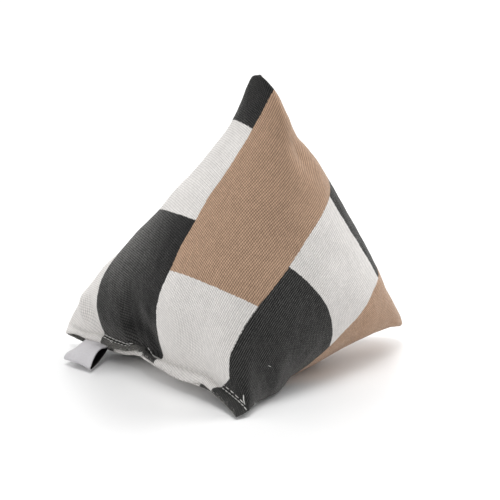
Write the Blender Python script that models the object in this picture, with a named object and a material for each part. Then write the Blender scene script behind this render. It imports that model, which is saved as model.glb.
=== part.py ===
"""Small pyramid cushion: a printed cloth tube closed at both ends and filled.

The upper end is sewn from corner T to corner R, the lower end across it from
corner L to corner F, so the filled tube stands as a four-cornered pyramid.
The lower end is topstitched and leaves a narrow hem standing outside the seam,
with a folded ribbon label caught in it.

Frame: Z up, X to the right, Y to the back, the origin in the middle of the
flat patch the cushion stands on. Lengths in this table are millimetres.
"""
import bmesh
import bpy
import numpy as np

for ob in list(bpy.data.objects):
    bpy.data.objects.remove(ob, do_unlink=True)

MM = 0.001

# cloth, laid flat
TUBE = 178.0            # width of the flat tube, and length of each end seam
HEIGHT = 165.0          # cloth between the upper seam and the topstitching
HEM = 7.5               # hem allowance outside the topstitching, before it is rolled and drawn in
HEM_THICK = 2.4         # hem with its turned-in edges

# the four corners of the stuffed cushion
T = np.array([16.5, -7.0, 158.3])
R = np.array([93.2, 54.0, 8.5])
L = np.array([-85.9, 45.0, 12.1])
F = np.array([11.3, -81.0, 3.0])

# cross sections from the upper seam (s = 0) to the topstitching (s = 1):
# along: place of the centre between the two seams
# toT, toR: reach along the upper seam's direction, as shares of half a seam
# toF, toL: reach along the lower seam's direction
# nTF ... nLT: squareness of each quarter, 2 is elliptical
# twist: degrees
SECTIONS = [
    # s     along  toT    toF    toR    toL    nTF  nFR  nRL  nLT  twist
    (0.00, 0.000, 0.985, 0.020, 0.975, 0.020, 4.0, 6.0, 6.0, 4.4, 0),
    (0.03, 0.010, 0.985, 0.110, 0.985, 0.100, 4.4, 6.5, 5.0, 4.6, 0),
    (0.08, 0.040, 0.945, 0.215, 0.930, 0.200, 4.4, 6.0, 4.5, 4.2, 0),
    (0.18, 0.115, 0.850, 0.355, 0.835, 0.335, 3.4, 4.4, 3.0, 2.8, -1),
    (0.35, 0.290, 0.730, 0.540, 0.720, 0.540, 2.6, 2.6, 2.2, 2.2, -3),
    (0.50, 0.470, 0.655, 0.645, 0.640, 0.680, 2.5, 2.15, 2.1, 2.1, -4),
    (0.65, 0.650, 0.565, 0.740, 0.545, 0.800, 2.5, 2.0, 2.1, 2.2, -4),
    (0.80, 0.815, 0.420, 0.818, 0.405, 0.890, 2.6, 2.7, 2.3, 2.7, -2),
    (0.92, 0.935, 0.245, 0.911, 0.235, 0.930, 2.6, 2.7, 2.8, 3.3, 0),
    (0.97, 0.980, 0.125, 0.967, 0.120, 0.962, 2.0, 2.8, 3.4, 3.8, 0),
    (1.00, 1.000, 0.013, 1.000, 0.013, 1.000, 2.0, 4.0, 4.0, 4.0, 0),
]
# how far the upper seam stands out of the line from T to R, by its share from T
UPPER_SEAM = [
    (0.00, 0.0), (0.06, 0.9), (0.13, -0.6), (0.20, -2.0), (0.27, 0.0), (0.33, 1.4), (0.50, 2.2),
    (0.72, 1.8), (0.84, -0.2), (0.92, -0.2), (1.00, 0.0),
]

# the lower seam from L to F: how far it is drawn in and lifted off the straight line
# between the corners, how steeply the hem droops, in degrees, and the width of the
# hem's front and back layers
SEAM = [
    # share inward up droop front back
    (0.000, 0.0, 0.0, 65, 6.5, 6.6),
    (0.080, 0.0, -0.3, 68, 4.0, 6.3),
    (0.140, 0.5, 0.5, 66, 4.8, 6.3),
    (0.190, 1.5, 1.8, 62, 5.3, 6.8),
    (0.255, 2.0, 1.6, 63, 5.0, 6.4),
    (0.320, 2.8, 1.9, 57, 4.1, 5.8),
    (0.350, 4.0, 3.3, 57, 4.4, 6.3),
    (0.380, 5.0, 4.4, 50, 4.4, 6.6),
    (0.410, 5.0, 4.4, 40, 4.7, 6.1),
    (0.446, 4.0, 3.2, 26, 4.9, 5.5),
    (0.483, 3.0, 3.5, 20, 5.6, 5.6),
    (0.545, 2.5, 4.1, 40, 5.9, 5.9),
    (0.600, 2.5, 4.4, 48, 6.6, 6.6),
    (0.660, 2.5, 5.5, 53, 7.3, 7.3),
    (0.715, 2.5, 6.3, 52, 7.1, 7.1),
    (0.770, 2.5, 7.1, 43, 5.9, 7.4),
    (0.830, 2.0, 5.1, 35, 5.5, 5.5),
    (0.895, 1.3, 3.6, 31, 5.9, 5.9),
    (0.956, 0.5, 2.0, 24, 6.9, 6.9),
    (1.000, 0.0, 0.0, 19, 8.1, 8.1),
]
SEAM_REACH = 0.22       # share of the cloth the drawn seam pulls with it

# dents and swells of the cloth, placed on it: u is the share of the tube's
# width round from the T side (L side -0.5, F side 0.5, R side 1.0), s as above,
# angle 0 runs round the tube and 90 along it, depth is positive inwards
FOLDS = [
    # u      s     angle half_length half_width depth
    (-0.02, 0.975, 20, 9, 7, 3.0),
    (-0.36, 0.930, 75, 13, 4, 1.6),
    (-0.03, 0.250, 10, 16, 9, 1.4),
    (0.22, 0.135, 15, 14, 8, 1.5),
    (0.12, 0.880, 60, 22, 12, -1.5),
]
FLOOR_SOFT = 4.0        # the cloth curves onto the surface within this height

# ribbon label folded in half: its outward path from the hem's edge, its drop,
# and the opening between the two plies measured between their middles
LABEL_FROM, LABEL_TO = -0.375, -0.262
LABEL_THICK = 1.0
LABEL_GAP = 0.4
LABEL_TOWARD_L = np.array([-0.41, -0.912, 0.0])
LABEL_TOWARD_F = np.array([-0.31, -0.951, 0.0])
LABEL_DROP_L, LABEL_DROP_F = 0.75, 1.10     # share of the drop at each edge of the ribbon
LABEL_PATH = [
    # share out  drop opening
    (0.00, 0.0, 0.0, 1.4),
    (0.10, 2.0, 0.6, 1.7),
    (0.35, 8.2, 1.5, 3.2),
    (0.60, 14.2, 2.3, 3.7),
    (0.85, 20.2, 3.2, 2.9),
    (1.00, 23.6, 3.7, 1.7),
]

ROWS, ROUND, HEM_ROWS = 40, 64, 3


def curve(rows, x):
    """Smooth curve through the rows of a table that never overshoots them."""
    rows = np.array(rows, float)
    px, py = rows[:, 0], rows[:, 1:]
    h = np.diff(px)
    d = np.diff(py, axis=0) / h[:, None]
    m = np.zeros_like(py)
    m[0], m[-1] = d[0], d[-1]
    w1 = (2 * h[1:] + h[:-1])[:, None]
    w2 = (h[1:] + 2 * h[:-1])[:, None]
    same = d[:-1] * d[1:] > 0
    over = np.where(same, w1 * d[1:] + w2 * d[:-1], 1.0)
    m[1:-1] = np.where(same, (w1 + w2) * d[:-1] * d[1:] / over, 0.0)
    x = np.clip(np.asarray(x, float), px[0], px[-1])
    k = np.clip(np.searchsorted(px, x, side="right") - 1, 0, len(h) - 1)
    t = ((x - px[k]) / h[k])[..., None]
    hk = h[k][..., None]
    return ((1 + 2 * t) * (1 - t) ** 2 * py[k] + t * (1 - t) ** 2 * hk * m[k]
            + t * t * (3 - 2 * t) * py[k + 1] + t * t * (t - 1) * hk * m[k + 1])


def ease(x):
    x = np.clip(x, 0, 1)
    return x * x * (3 - 2 * x)


def unit(v):
    return v / np.maximum(np.linalg.norm(v, axis=-1, keepdims=True), 1e-12)


def quarter_steps(count):
    """Shares of a quarter's length, closer together towards its two ends."""
    t = np.arange(count) / count
    return 0.4 * t + 0.6 * (0.5 - 0.5 * np.cos(np.pi * t))


def quarter(a, b, n, count):
    """Quarter of a superellipse from a to b."""
    ph = np.linspace(0, np.pi / 2, 129)
    q = np.outer(np.cos(ph) ** (2 / n), a) + np.outer(np.sin(ph) ** (2 / n), b)
    d = np.r_[0, np.cumsum(np.linalg.norm(np.diff(q, axis=0), axis=1))]
    t = quarter_steps(count) * d[-1]
    return np.stack([np.interp(t, d, q[:, k]) for k in range(3)], 1)


def cloth(rows, around, hem_rows):
    """Rings of cloth points, from the upper seam to the hem's edge."""
    m1, m2 = (T + R) / 2, (L + F) / 2
    h1, h2 = np.linalg.norm(R - T) / 2, np.linalg.norm(F - L) / 2
    d1, d2 = unit(R - T), unit(F - L)
    axis = unit(m2 - m1)
    out = unit(np.cross([0, 0, 1.0], d2))
    out = out * np.sign(out @ axis)
    s = np.linspace(0, 1, rows + 1)
    s = s - 0.09 * np.sin(2 * np.pi * s)
    q = around // 4
    rings = []
    for si, row in zip(s, curve(SECTIONS, s)):
        al, tT, tF, tR, tL, nTF, nFR, nRL, nLT, twist = row
        a, b = -d1 * tT * h1, d2 * tF * h2
        c, d = d1 * tR * h1, -d2 * tL * h2
        ring = np.concatenate([quarter(a, b, nTF, q), quarter(b, c, nFR, q),
                               quarter(c, d, nRL, q), quarter(d, a, nLT, q)])
        x, y = ring @ d1 / h1, ring @ d2 / h2
        th = np.radians(-twist)
        ring = (ring * np.cos(th) + np.cross(axis, ring) * np.sin(th)
                + np.outer(ring @ axis, axis) * (1 - np.cos(th)))
        bow = curve(UPPER_SEAM, (np.clip(x, -1, 1) + 1) / 2)[:, 0]
        ring = ring - np.outer(bow * (1 - si) ** 2, axis)
        share = np.clip(y, -1, 1)
        inward, up, droop, front, back = curve(SEAM, (share + 1) / 2).T
        near = ease((si - 1 + SEAM_REACH) / SEAM_REACH)
        ring = ring + near * (np.outer(-inward, out) + np.outer(up, [0, 0, 1]))
        rings.append(m1 + (m2 - m1) * al + ring)
    pts = np.array(rings)
    # the hem goes on from the middle of the last ring, one layer on each side
    j = np.arange(around)
    last = pts[-1]
    mid = (last + last[(2 * q - j) % around]) / 2
    droop = np.radians(droop)
    hang = np.outer(np.cos(droop), out) - np.outer(np.sin(droop), [0, 0, 1])
    face = unit(np.cross(hang, d2))
    face = face * np.sign(face[0, 2])
    behind = (j > q) & (j < 3 * q)
    width = np.where(behind, back, front)
    layer = np.where(behind, -1.0, 1.0) * ((j != q) & (j != 3 * q))
    half = HEM_THICK / 2 * np.sqrt(np.clip(1 - np.abs(share) ** 8, 0, 1))
    for k in range(1, hem_rows + 1):
        thin = 0.65 if k == hem_rows else 1.0
        row = mid + (width * k / hem_rows)[:, None] * hang + (layer * half * thin)[:, None] * face
        pts = np.concatenate([pts, row[None]])
        s = np.r_[s, 1 + HEM * k / hem_rows / HEIGHT]
    u = np.concatenate([(k + quarter_steps(q)) / 2 for k in range(4)])
    # dents and swells along the cloth's outward normal
    n = unit(np.cross(np.gradient(pts, axis=0), np.roll(pts, -1, 1) - np.roll(pts, 1, 1)))
    for fu, fs, angle, half_long, half_wide, depth in FOLDS:
        du = ((u[None, :] - fu + 1) % 2 - 1) * TUBE
        dv = (s[:, None] - fs) * HEIGHT
        a = np.radians(angle)
        lon = du * np.cos(a) + dv * np.sin(a)
        lat = -du * np.sin(a) + dv * np.cos(a)
        amount = depth * np.exp(-(lon / half_long) ** 2 - (lat / half_wide) ** 2)
        pts = pts - amount[..., None] * n
    # it rests flat on the surface below
    z, soft = pts[..., 2], FLOOR_SOFT
    pts[..., 2] = np.where(z > soft, z, np.where(z < -soft, 0, (z + soft) ** 2 / (4 * soft)))
    edge = [(u[k] - 2 * (u[k] >= 1.5), (pts[-1][k] + pts[-1][(2 * q - k) % around]) / 2, hang[k])
            for k in range(around) if k <= q or k >= 3 * q]
    return pts, sorted(edge, key=lambda e: e[0])


def closed_rings(pts, fold_a, fold_b):
    """Faces of a stack of rings; each end ring is flat and zipped across."""
    count, around = pts.shape[:2]
    at = lambda i, j: i * around + j % around
    faces = [(at(i, j), at(i + 1, j), at(i + 1, j + 1), at(i, j + 1))
             for i in range(count - 1) for j in range(around)]
    for i, fold in ((0, fold_a), (count - 1, fold_b)):
        for k in range(around // 2):
            quad = [at(i, fold + k), at(i, fold + k + 1), at(i, fold - k - 1), at(i, fold - k)]
            quad = [v for n, v in enumerate(quad) if v not in quad[:n]]
            faces.append(tuple(quad if i == 0 else quad[::-1]))
    return faces


def label(edge, across, along):
    """Folded ribbon: a sheet going out, round the fold and back."""
    eu = np.array([e[0] for e in edge])
    at = lambda u, k: np.array([np.interp(u, eu, [e[k][c] for e in edge]) for c in range(3)])
    share = np.linspace(0, 1, along + 1)
    out, drop, opening = curve(LABEL_PATH, share).T
    mid = np.stack([out, -drop], 1)
    nrm = unit(np.stack([-np.gradient(mid[:, 1]), np.gradient(mid[:, 0])], 1))
    top = mid + nrm * (opening / 2)[:, None]
    low = mid - nrm * (opening / 2)[:, None]
    tip = unit(mid[-1] - mid[-2])
    turn = np.radians([60, 30, 0, -30, -60])
    fold = mid[-1] + opening[-1] / 2 * (np.outer(np.cos(turn), tip) + np.outer(np.sin(turn), nrm[-1]))
    line = np.concatenate([top, fold, low[::-1]])
    side = unit(np.gradient(line, axis=0))
    side = np.stack([-side[:, 1], side[:, 0]], 1)
    skins = [line + side * LABEL_THICK / 2, line - side * LABEL_THICK / 2]
    grid = []
    for skin in skins:
        sheet = []
        for w in np.linspace(0, 1, across + 1):
            u = LABEL_FROM + (LABEL_TO - LABEL_FROM) * w
            start = at(u, 1) + at(u, 2) * (LABEL_GAP + LABEL_THICK / 2)
            way = unit(LABEL_TOWARD_L * (1 - w) + LABEL_TOWARD_F * w)
            fall = (LABEL_DROP_L * (1 - w) + LABEL_DROP_F * w - 1) * np.interp(skin[:, 0], out, drop)
            sheet.append(start + np.outer(skin[:, 0], way) + np.outer(skin[:, 1] - fall, [0, 0, 1]))
        grid.append(sheet)
    return np.array(grid)


def sheet_faces(grid):
    """Faces of a sheet given as an outer and an inner skin."""
    skins, a, b = grid.shape[:3]
    at = lambda k, i, j: (k * a + i) * b + j
    faces = []
    for i in range(a - 1):
        for j in range(b - 1):
            faces.append((at(0, i, j), at(0, i + 1, j), at(0, i + 1, j + 1), at(0, i, j + 1)))
            faces.append((at(1, i, j), at(1, i, j + 1), at(1, i + 1, j + 1), at(1, i + 1, j)))
    for i in range(a - 1):
        faces.append((at(0, i, 0), at(1, i, 0), at(1, i + 1, 0), at(0, i + 1, 0)))
        faces.append((at(0, i, b - 1), at(0, i + 1, b - 1), at(1, i + 1, b - 1), at(1, i, b - 1)))
    for j in range(b - 1):
        faces.append((at(0, 0, j), at(0, 0, j + 1), at(1, 0, j + 1), at(1, 0, j)))
        faces.append((at(0, a - 1, j), at(1, a - 1, j), at(1, a - 1, j + 1), at(0, a - 1, j + 1)))
    return faces


def add(name, points, faces, material, colour, roughness):
    bm = bmesh.new()
    verts = [bm.verts.new(p * MM) for p in points.reshape(-1, 3)]
    for face in faces:
        bm.faces.new([verts[k] for k in face]).smooth = True
    bmesh.ops.recalc_face_normals(bm, faces=bm.faces)
    mesh = bpy.data.meshes.new(name)
    bm.to_mesh(mesh)
    bm.free()
    ob = bpy.data.objects.new(name, mesh)
    bpy.context.scene.collection.objects.link(ob)
    mat = bpy.data.materials.new(material)
    mat.use_nodes = True
    shader = mat.node_tree.nodes["Principled BSDF"]
    shader.inputs["Base Color"].default_value = colour
    shader.inputs["Roughness"].default_value = roughness
    mesh.materials.append(mat)
    return ob


body, edge = cloth(ROWS, ROUND, HEM_ROWS)
add("cushion_body", body, closed_rings(body, 0, ROUND // 4), "printed_cloth", (0.38, 0.31, 0.26, 1), 0.9)
ribbon = label(edge, 6, 12)
ribbon[..., 2] = np.maximum(ribbon[..., 2], 0.05)
add("label_loop", ribbon, sheet_faces(ribbon), "label_ribbon", (0.62, 0.60, 0.60, 1), 0.55)
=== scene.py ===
"""Looks of the small pyramid cushion: printed cloth, hem, stitches, label and studio."""

import bpy
import numpy as np
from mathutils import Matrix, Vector


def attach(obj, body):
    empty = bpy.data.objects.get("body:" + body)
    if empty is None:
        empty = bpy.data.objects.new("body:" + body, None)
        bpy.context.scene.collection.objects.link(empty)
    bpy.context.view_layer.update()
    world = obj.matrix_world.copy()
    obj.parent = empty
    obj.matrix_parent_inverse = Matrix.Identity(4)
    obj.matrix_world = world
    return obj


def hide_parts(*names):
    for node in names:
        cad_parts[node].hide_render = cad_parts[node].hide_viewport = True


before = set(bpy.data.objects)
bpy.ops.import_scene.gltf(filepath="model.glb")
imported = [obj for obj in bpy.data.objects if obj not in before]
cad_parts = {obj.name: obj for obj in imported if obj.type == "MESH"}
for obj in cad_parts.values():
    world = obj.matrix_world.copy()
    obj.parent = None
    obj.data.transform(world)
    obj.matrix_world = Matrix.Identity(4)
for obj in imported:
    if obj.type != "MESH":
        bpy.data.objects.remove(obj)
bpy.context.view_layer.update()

MM = 0.001
UP = np.array([0, 0, 1.0])

# The cloth's shape, in millimetres. These are the solid's tables, with corner R a little
# rounder and finer dents above the hem. Two numbers place a point on the cloth: u is the
# share of the tube's width round from the T side (L side -0.5, F side 0.5, R side 1.0),
# and s runs from the upper seam (0) to the topstitching (1) and over the hem.
TUBE = 178.0            # width of the flat tube, and length of each end seam
HEIGHT = 165.0          # cloth between the upper seam and the topstitching
HEM = 7.5               # cloth outside the topstitching
T = np.array([16.5, -7.0, 158.3])
R = np.array([93.2, 54.0, 9.3])
L = np.array([-85.9, 45.0, 12.1])
F = np.array([11.3, -81.0, 3.0])
# cross sections: place of the centre between the seams, reach towards each corner, squareness
# of each quarter (2 is elliptical), and twist in degrees
SECTIONS = [
    # s     along  toT    toF    toR    toL    nTF  nFR  nRL  nLT  twist
    (0.00, 0.000, 0.985, 0.020, 0.965, 0.020, 4.0, 5.0, 5.0, 4.4, 0),
    (0.03, 0.010, 0.985, 0.110, 0.975, 0.100, 4.4, 5.5, 4.6, 4.6, 0),
    (0.08, 0.040, 0.945, 0.215, 0.940, 0.200, 4.4, 6.0, 4.5, 4.2, 0),
    (0.18, 0.115, 0.850, 0.355, 0.835, 0.335, 3.4, 4.4, 3.0, 2.8, -1),
    (0.35, 0.290, 0.730, 0.540, 0.720, 0.540, 2.6, 2.6, 2.2, 2.2, -3),
    (0.50, 0.470, 0.655, 0.645, 0.640, 0.680, 2.5, 2.15, 2.1, 2.1, -4),
    (0.65, 0.650, 0.565, 0.740, 0.545, 0.800, 2.5, 2.0, 2.1, 2.2, -4),
    (0.80, 0.815, 0.420, 0.818, 0.405, 0.890, 2.6, 2.7, 2.3, 2.7, -2),
    (0.92, 0.935, 0.245, 0.911, 0.235, 0.930, 2.6, 2.7, 2.8, 3.3, 0),
    (0.97, 0.980, 0.125, 0.967, 0.120, 0.962, 2.0, 2.8, 3.4, 3.8, 0),
    (1.00, 1.000, 0.013, 1.000, 0.013, 1.000, 2.0, 4.0, 4.0, 4.0, 0),
]
# how far the upper seam stands out of the line from T to R, by its share from T
UPPER_SEAM = [
    (0.00, 0.0), (0.06, 0.9), (0.13, -0.6), (0.20, -2.0), (0.27, 0.0), (0.33, 1.4), (0.50, 2.2),
    (0.72, 1.8), (0.84, -0.2), (0.92, -0.2), (1.00, 0.0),
]
# the lower seam from L to F: how far it is drawn in and lifted, how steeply the hem droops,
# in degrees, the width of the hem's layers, and how much thicker the hem is there
SEAM = [
    # share inward up droop front back swell
    (0.000, 0.0, 0.0, 65, 6.5, 6.6, 0.0),
    (0.080, 0.0, -0.3, 68, 4.0, 6.3, 0.1),
    (0.140, 0.5, 0.5, 66, 4.8, 6.3, 0.3),
    (0.190, 1.5, 1.8, 62, 5.3, 6.8, 0.3),
    (0.255, 2.0, 1.6, 63, 5.0, 6.4, 0.2),
    (0.320, 2.8, 1.9, 57, 4.1, 5.8, 0.2),
    (0.350, 4.0, 3.3, 57, 4.4, 6.3, 0.3),
    (0.380, 5.0, 4.4, 50, 4.4, 6.6, 0.3),
    (0.410, 5.0, 4.4, 40, 4.7, 6.1, 0.2),
    (0.446, 4.0, 3.2, 26, 4.9, 5.5, 0.2),
    (0.483, 3.0, 3.5, 20, 5.6, 5.6, 0.5),
    (0.545, 2.5, 4.1, 40, 5.9, 5.9, 0.8),
    (0.600, 2.5, 4.4, 48, 6.6, 6.6, 0.8),
    (0.660, 2.5, 5.5, 53, 7.3, 7.3, 0.7),
    (0.715, 2.5, 6.3, 52, 7.1, 7.1, 0.6),
    (0.770, 2.5, 7.1, 43, 5.9, 7.4, 0.3),
    (0.830, 2.0, 5.1, 35, 5.5, 5.5, 0.0),
    (0.895, 1.3, 3.6, 31, 5.9, 5.9, 0.0),
    (0.956, 0.5, 2.0, 24, 6.9, 6.9, 0.0),
    (1.000, 0.0, 0.0, 19, 8.1, 8.1, 0.0),
]
SEAM_REACH = 0.22       # share of the cloth the drawn seam pulls with it
# dents (depth above 0) and swells: angle 0 runs round the tube and 90 along it, and the last
# number is the share of it that is left at the seam
FOLDS = [
    # u      s     angle half_length half_width depth left
    (-0.02, 0.975, 20, 9, 7, 3.0, 1),
    (-0.332, 0.950, 80, 11, 4.5, 2.2, 0),
    (-0.432, 0.962, 85, 9, 5, 0.9, 0),
    (-0.382, 0.962, 87, 11, 2.6, -1.2, 0),
    (-0.03, 0.250, 10, 16, 9, 1.4, 1),
    (0.22, 0.135, 15, 14, 8, 1.5, 1),
    (0.12, 0.880, 60, 22, 12, -1.5, 1),
]
FOLD_FADE = 0.035       # share of the cloth in which the folds that end at the seam fade out
FLOOR_SOFT = 4.0        # the cloth curves onto the surface within this height
# lumps of the filling: height, number of waves, size, seed
LUMPS = [(0.22, 14, 34, 5), (0.08, 18, 11, 8)]
LUMPS_END = 0.06        # share of the cloth next to each seam in which they fade out

ROWS, ROUND = 190, 376  # rings of the mesh, and points round each
CROWDING = 0.09         # how much closer together the rings lie at the two seams
QUARTER_SAMPLES = 513

# profile of one hem layer: outward share of the hem, half thickness
HEM_PROFILE = [
    (0.06, 0.60), (0.16, 0.55), (0.26, 1.00), (0.36, 1.25), (0.55, 1.30), (0.76, 1.25), (0.90, 1.08),
    (0.98, 0.82), (1.00, 0.55), (0.98, 0.30), (0.90, 0.16), (0.75, 0.10), (0.55, 0.08),
]
HEM_END_POWER = 8       # the higher, the later the hem thins out towards its two ends
HEM_STEP = 0.25         # least cloth between two rings of the profile
THIN, FULL = 0.3, 1.2   # half thickness at which the swell begins, and has all its effect

# the print: u of its lengthwise lines, by s, and of those at the back, where it is guessed
PRINT_LINES = [
    # s    line0   line1  line2  line3
    (0.00, -0.250, 0.068, 0.380, 0.700),
    (0.16, -0.250, 0.053, 0.380, 0.701),
    (0.24, -0.250, 0.047, 0.375, 0.697),
    (0.35, -0.250, 0.054, 0.374, 0.710),
    (0.50, -0.250, 0.058, 0.387, 0.726),
    (0.60, -0.250, 0.067, 0.386, 0.750),
    (0.70, -0.253, 0.065, 0.381, 0.755),
    (0.76, -0.260, 0.061, 0.379, 0.755),
    (0.82, -0.267, 0.048, 0.379, 0.755),
    (0.88, -0.277, 0.037, 0.378, 0.750),
    (0.93, -0.289, 0.034, 0.391, 0.745),
    (0.96, -0.297, 0.029, 0.401, 0.740),
    (0.98, -0.302, 0.020, 0.386, 0.737),
    (1.00, -0.297, 0.018, 0.355, 0.735),
    (1.03, -0.295, 0.018, 0.330, 0.735),
]
BACK_LINES = (1.05, 1.23, 1.485)
PRINT_START, PRINT_END = -0.59, 1.8
COLUMN_WIDTH = 0.32     # of a column, as a share of the tube's width
# the colours of each column from the upper seam down, and the crosswise lines between them,
# as (u, s) rows
PRINT_COLUMNS = [
    (["tan", "white"], [[(-0.60, 0.42), (-0.20, 0.42)]]),
    (["charcoal", "white", "charcoal"],
     [[(-0.30, 0.160), (-0.096, 0.209), (-0.023, 0.228), (0.050, 0.236), (0.10, 0.242)],
      [(-0.30, 0.560), (-0.146, 0.570), (-0.03, 0.580), (0.065, 0.579), (0.10, 0.578)]]),
    (["tan", "white"],
     [[(0.00, 0.755), (0.062, 0.751), (0.127, 0.745), (0.189, 0.737), (0.250, 0.726),
       (0.319, 0.704), (0.382, 0.674), (0.45, 0.640)]]),
    (["charcoal", "white", "charcoal"],
     [[(0.35, 0.160), (0.400, 0.160), (0.490, 0.161), (0.540, 0.153), (0.590, 0.147),
       (0.692, 0.146), (0.80, 0.146)],
      [(0.35, 0.505), (0.387, 0.493), (0.421, 0.480), (0.459, 0.470), (0.497, 0.461),
       (0.573, 0.453), (0.605, 0.456), (0.643, 0.463), (0.669, 0.471), (0.698, 0.483),
       (0.716, 0.493), (0.80, 0.530)]]),
    (["tan", "white"], [[(0.60, 0.74), (1.10, 0.74)]]),
    (["charcoal", "white"], [[(0.95, 0.30), (1.30, 0.30)]]),
    (["tan", "charcoal"], [[(1.10, 0.45), (1.60, 0.45)]]),
    (["tan", "white"], [[(1.40, 0.42), (1.60, 0.42)]]),
]
PRINT_COLOURS = {
    "white": (0.705, 0.682, 0.660),
    "tan": (0.370, 0.244, 0.167),
    "charcoal": (0.0060, 0.0060, 0.0063),
}
RAGGED_BY_BEAD, RAGGED_BY_NOISE = 0.16, 0.30    # the print's edges stray this far, in mm
EDGE_SHARPNESS = 2.6                            # of the print's edges, per mm
# contrast of the weave for dark, middle and light prints, by their brightness, halved
CONTRAST = [(0.0, 1.00), (0.24, 0.90), (0.66, 0.42)]
MIDDLE_HEIGHT = 0.57                            # the weave is neither lighter nor darker here
BEAD_TONE, RIB_TONE, PATCH_TONE = 0.06, 0.02, 0.04
DARKEST_TONE = 0.12
# undyed fibre on the crowns of dark threads, with a painted highlight in it too: the print's brightness
# where it ends and where it is full, the height of the crowns, its share and its colour
GLINT_DARK, GLINT_CROWN, GLINT_BEAD = (0.02, 0.09), (0.55, 1.00), 0.07
GLINT = 0.42
GLINT_COLOUR = (0.220, 0.217, 0.208)
WORN_SHARE = 0.85
WORN_COLOUR = (0.230, 0.224, 0.205)
CLOTH_BUMP = 0.00026
CLOTH_FINISH = {
    "Roughness": 0.92, "Specular IOR Level": 0.20,
    "Sheen Weight": 0.40, "Sheen Roughness": 0.22, "Sheen Tint": (0.95, 0.93, 0.90, 1.0),
}

# weave: ribs along the tube, each a row of raised beads that leans a little
RIB_PITCH = 1.19
BEAD_PITCH = 1.25
BEAD_LEAN = -0.21
RIB_LEAN = 0.02
WANDER, WANDER_SCALE = 0.8, 0.03    # how far the threads wander, in threads, and how often
RIB_DOME, BEAD_DOME = 0.97, 0.95    # how far down the round sides of a rib and a bead go
BEAD_SHARE = 0.68                   # of a rib's height that dips between its beads
CROSS_DOME, CROSS_HEIGHT = 1.6, 0.42
FIBRE_SWING = (0.88, 1.08)

# sewing thread
THREAD_RADIUS = 0.24
THREAD_ARC = 0.16       # how high a stitch stands over the cloth
THREAD_SIDES, FIBRE_SIDES = 8, 3
# the thread's colour in the grooves between its plies, a painted shade, and on their crowns
THREAD_GROOVE_SHADE_AND_CROWN = (0.46, 0.45, 0.42), (0.88, 0.87, 0.84)
THREAD_BUMP = 0.00012
THREAD_FINISH = {"Roughness": 0.55, "Sheen Weight": 0.3}
# the two rows of topstitching, by u: how far outside the seam they run, how deep they sink,
# the share of each stitch that shows, and the length of a stitch
STITCH_ROWS = [
    # first u, last u, rows of (u, outward, sink, share, length)
    (-0.486, 0.4870, [
        (-0.500, 0.25, 0.00, 0.96, 2.9), (-0.156, 0.20, 0.00, 0.96, 2.9), (-0.146, 0.20, 0.70, 0.96, 2.9),
        (-0.094, 0.20, 0.70, 0.96, 2.9), (-0.084, 0.20, 0.00, 0.96, 2.9), (-0.010, 0.90, 0.12, 0.90, 2.9),
        (0.300, -0.90, 0.12, 0.75, 2.9), (0.390, -1.30, 0.00, 0.80, 4.3),
        (0.500, -1.30, 0.00, 0.80, 4.3)]),
    (-0.486, 0.4975, [
        (-0.500, 1.50, 0.00, 0.96, 2.9), (-0.262, 1.45, 0.00, 0.96, 2.9), (-0.245, 1.42, 0.18, 0.80, 2.9),
        (-0.160, 1.40, 0.24, 0.70, 2.9), (-0.145, 1.40, 0.80, 0.70, 2.9), (-0.050, 1.30, 0.80, 0.70, 2.9),
        (-0.030, 1.70, 0.80, 0.90, 2.9), (-0.020, 1.70, 0.15, 0.90, 2.9), (0.010, 1.50, 0.25, 0.90, 2.9),
        (0.300, 0.60, 0.25, 0.90, 2.9), (0.400, 0.40, 0.00, 0.98, 2.9), (0.500, 0.40, 0.00, 0.98, 2.9)]),
]
# extra stitches and loose ends: (u, s) of both ends, radius, height of the arc
LOOSE = [
    ((0.4700, 0.963), (0.4815, 0.994), 0.25, 0.30),
    ((0.4715, 0.964), (0.4835, 0.991), 0.20, 0.45),
    ((0.5300, 0.937), (0.5480, 0.947), 0.16, 0.15),
    ((0.5150, 0.777), (0.5280, 0.768), 0.12, 0.20),
    ((-0.0800, 1.040), (-0.0710, 1.047), 0.28, 0.50),
    ((-0.0760, 1.045), (-0.0660, 1.040), 0.22, 0.70),
    ((-0.0830, 1.046), (-0.0740, 1.040), 0.20, 0.90),
    ((-0.3920, 1.028), (-0.3800, 1.037), 0.24, 0.50),
    ((-0.2560, 1.012), (-0.2380, 1.022), 0.17, 0.60),
]
# loose fibres at the hem: how many, radius, shortest and longest, points on each
FIBRES = 1600
FIBRE_RADIUS = 0.070
FIBRE_LENGTH = (0.5, 1.3)
FIBRE_POINTS = 5
FIBRE_LOWEST = 0.1      # least height of a fibre over the surface
FIBRE_COLOURS = (0.16, 0.155, 0.145), (0.74, 0.72, 0.68)
# how much of the cloth's fibre shows at the hem's edge, by u
WEAR = [(-0.50, 0.15), (-0.30, 0.25), (-0.27, 0.90), (-0.20, 1.00), (-0.13, 0.80), (-0.08, 0.35),
        (-0.03, 0.15), (0.50, 0.10), (0.52, 0.30), (1.50, 0.30)]
WEAR_WIDTH = 2.2        # from the seam outwards, over which it reaches its full amount
# how much of the glint on dark print shows, a painted highlight on the thread crowns: by s down the whole
# cloth, and on the left side by u too, painted lighter towards its outer edge where light grazes it, less
# so lower down
GLINT_DOWN_CLOTH = [(0.00, 0.55), (0.20, 0.55), (0.32, 1.00), (0.92, 1.00), (0.97, 0.70)]
GLINT_LEFT = [(-0.50, 2.50), (-0.19, 2.50), (-0.14, 2.10), (-0.10, 1.50), (-0.05, 1.05),
               (-0.01, 0.45), (0.06, 0.35)]
GLINT_LEFT_DOWN = [(0.72, 1.00), (0.82, 0.75), (0.90, 0.45), (0.97, 0.35), (1.01, 0.90)]
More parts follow.
